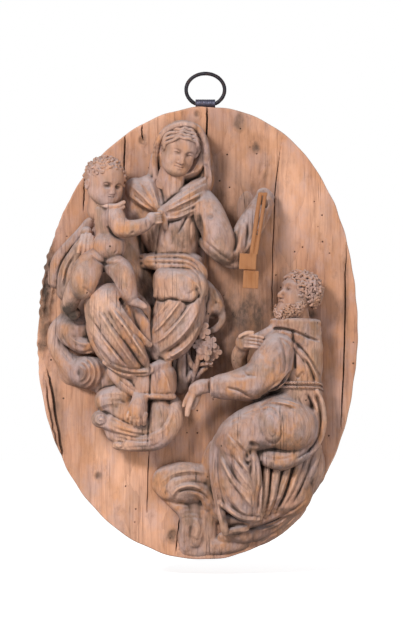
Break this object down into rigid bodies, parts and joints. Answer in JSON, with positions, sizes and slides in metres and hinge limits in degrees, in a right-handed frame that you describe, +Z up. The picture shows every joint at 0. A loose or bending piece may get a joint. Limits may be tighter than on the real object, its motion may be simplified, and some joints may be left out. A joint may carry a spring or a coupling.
{
  "type": "carved wooden medallion",
  "caption": "Upright oval wall medallion carved in high relief with a seated woman, a child and a kneeling man on clouds and rock, hung by an iron ring.",
  "frame": {"origin": "centre of the panel's flat back face, where it lies against the wall", "axes": "+X to the viewer's right, +Z up, the carved side faces -Y"},
  "size_m": [0.4298, 0.1282, 0.655],
  "materials": {
    "relief_wood": "old unpainted softwood, dull, dusty on upward faces",
    "slip_wood": "newer, lighter wood, dull",
    "ring_iron": "blackened wrought iron",
    "strap_iron": "bluish grey wrought iron"
  },
  "bodies": {
    "medallion": {"carved_relief": "relief_wood", "scapular": "slip_wood", "ring_strap": "strap_iron", "strap_nail_upper": "ring_iron", "strap_nail_lower": "ring_iron"},
    "ring": {"hanging_ring": "ring_iron"}
  },
  "joints": [
    {"name": "ring_swing", "type": "hinge", "parent": "medallion", "child": "ring", "pos_m": [0.0112, -0.0058, 0.3091], "axis": [1, 0, 0], "range_deg": [-80, 80]}
  ]
}
